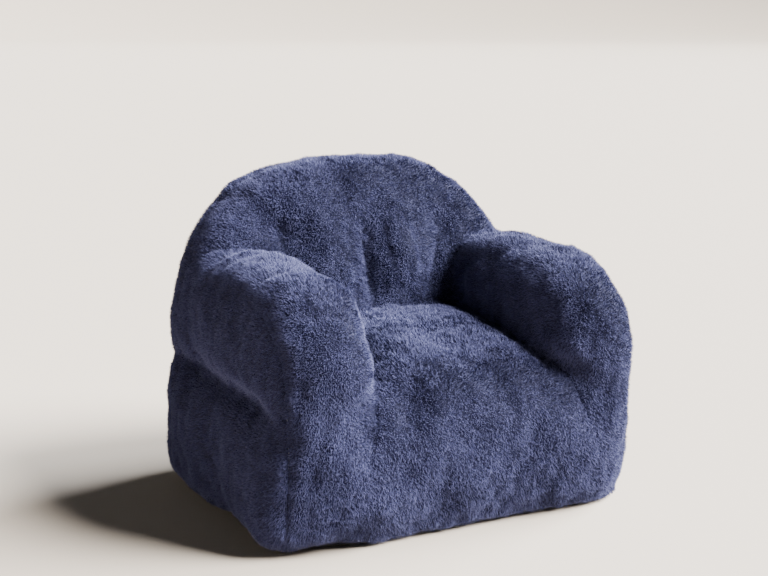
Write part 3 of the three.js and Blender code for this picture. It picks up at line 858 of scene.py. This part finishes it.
def coil(name, side):
    """A zip's nylon coil: one wire wound along the tape's edge."""
    low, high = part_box(f"zip_coil_{name}")
    steps = 12  # along the wire in each turn
    sides = 6  # around the wire
    t = np.arange(COIL_TURNS * steps + 1) / steps
    angle = 2 * math.pi * t
    spine = np.stack([
        low.x + COIL_WIRE + t * (high.x - low.x - 2 * COIL_WIRE) / COIL_TURNS,
        COIL_Y + (COIL_HALF_DEPTH - COIL_WIRE) * np.cos(angle),
        (low.z + high.z) / 2 + side * (COIL_HALF_WIDTH - COIL_WIRE) * np.sin(angle),
    ], axis=1)
    outward = np.stack([0 * angle, np.cos(angle), side * np.sin(angle)], axis=1)
    around = np.linspace(0, 2 * math.pi, sides, endpoint=False)
    ring = np.cos(around)[None, :, None] * outward[:, None] + np.sin(around)[None, :, None] * (1, 0, 0)
    points = (spine[:, None] + COIL_WIRE * ring).reshape(-1, 3)
    piece = mesh_object(f"zip_coil_{name}_wound", points, [ring_quads(len(t) - 1, sides)])
    piece.data.materials.append(NYLON)
    attach(piece, f"zip_coil_{name}", "chair")


for number in (1, 2, 3):
    covered_button(number)
for name, side in (("upper", 1), ("lower", -1)):
    coil(name, side)
fine_piece("zip_slider_cast", "zip_slider", slider_shape, "zip_slider", ZINC)
fine_piece("zip_pull_tab_cast", "zip_pull_tab", pull_shape, "zip_pull", ZINC)
for node in ("zip_top_stop_upper", "zip_top_stop_lower", "zip_bottom_stop"):
    fine_piece(f"{node}_crimped", node, stop_shape(node), "chair", ZINC)


def finish_nodes(material, *nodes):
    for node in nodes:
        thing = bpy.data.objects[node]
        thing.data.materials.clear()
        thing.data.materials.append(material)


finish_nodes(woven("base_cloth", (0.02, 0.021, 0.03), 350), "base_panel")
finish_nodes(woven("cord_fibre", (0.55, 0.52, 0.45), 900), *(f"tuft_cord_{n}" for n in (1, 2, 3)))
finish_nodes(NYLON, *(f"tuft_washer_{n}" for n in (1, 2, 3)))
finish_nodes(woven("zip_tape", (0.016, 0.018, 0.055), 900, sheen=0), "zip_tape_upper", "zip_tape_lower")
finish_nodes(woven("label", (0.75, 0.74, 0.70), 1200, roughness=0.5), "care_label")


# ---- Floor, light, camera ----
FLOOR_RADIUS = 40
WALL_BEND = 9
FLOOR_COLOUR = (0.36, 0.315, 0.265, 1)
SKY_COLOUR = (0.62, 0.78, 1, 1)
SKY_STRENGTH = 0.06
SUN_WIDTH = 30  # degrees: a wide sun casts soft shadows
CAMERA_TURN = -28
CAMERA_RISE = 13
CAMERA_DISTANCE = 3.6
CAMERA_AIM = (0, 0, 0.36)


def towards(turn, rise):
    """The unit vector at turn degrees from the front, towards the left, and rise above the horizon."""
    turn = math.radians(turn)
    rise = math.radians(rise)
    return Vector((math.sin(turn) * math.cos(rise), -math.cos(turn) * math.cos(rise), math.sin(rise)))


def set_stage():
    """A floor whose far edge curves up all round, so that no horizon shows."""
    sides = 96
    turn = np.linspace(0, 2 * math.pi, sides, endpoint=False)
    bends = np.linspace(0, math.pi / 2, 16)
    rings = [(FLOOR_RADIUS + WALL_BEND * math.sin(b), WALL_BEND - WALL_BEND * math.cos(b)) for b in bends]
    points = np.array([(r * math.cos(t), r * math.sin(t), z) for r, z in rings for t in turn])
    wall = ring_quads(len(rings) - 1, sides)[:, [1, 0, 3, 2]]  # facing inwards
    floor = mesh_object("floor", points, [np.arange(sides)[None], wall])
    material, _, _, shader = new_material("floor")
    shader.inputs["Base Color"].default_value = FLOOR_COLOUR
    shader.inputs["Roughness"].default_value = 0.9
    floor.data.materials.append(material)


def set_camera():
    data = bpy.data.cameras.new("camera")
    camera = bpy.data.objects.new("camera", data)
    scene.collection.objects.link(camera)
    outward = towards(CAMERA_TURN, CAMERA_RISE)
    camera.location = Vector(CAMERA_AIM) + CAMERA_DISTANCE * outward
    camera.rotation_euler = (-outward).to_track_quat("-Z", "Y").to_euler()
    data.lens = 69.5
    data.shift_x = -0.012
    data.shift_y = 0.07
    scene.camera = camera


def broad_light(name, turn, rise, power, colour):
    data = bpy.data.lights.new(name, "SUN")
    data.angle = math.radians(SUN_WIDTH)
    data.energy = power
    data.color = colour
    light = bpy.data.objects.new(name, data)
    scene.collection.objects.link(light)
    light.rotation_euler = (-towards(turn, rise)).to_track_quat("-Z", "Y").to_euler()


set_stage()
set_camera()
broad_light("window", 54, 38, 29, (1, 0.975, 0.95))
broad_light("edge", 94, 28, 18, (0.95, 0.97, 1))
world = bpy.data.worlds.new("world")
scene.world = world
world.use_nodes = True
world.node_tree.nodes["Background"].inputs["Color"].default_value = SKY_COLOUR
world.node_tree.nodes["Background"].inputs["Strength"].default_value = SKY_STRENGTH
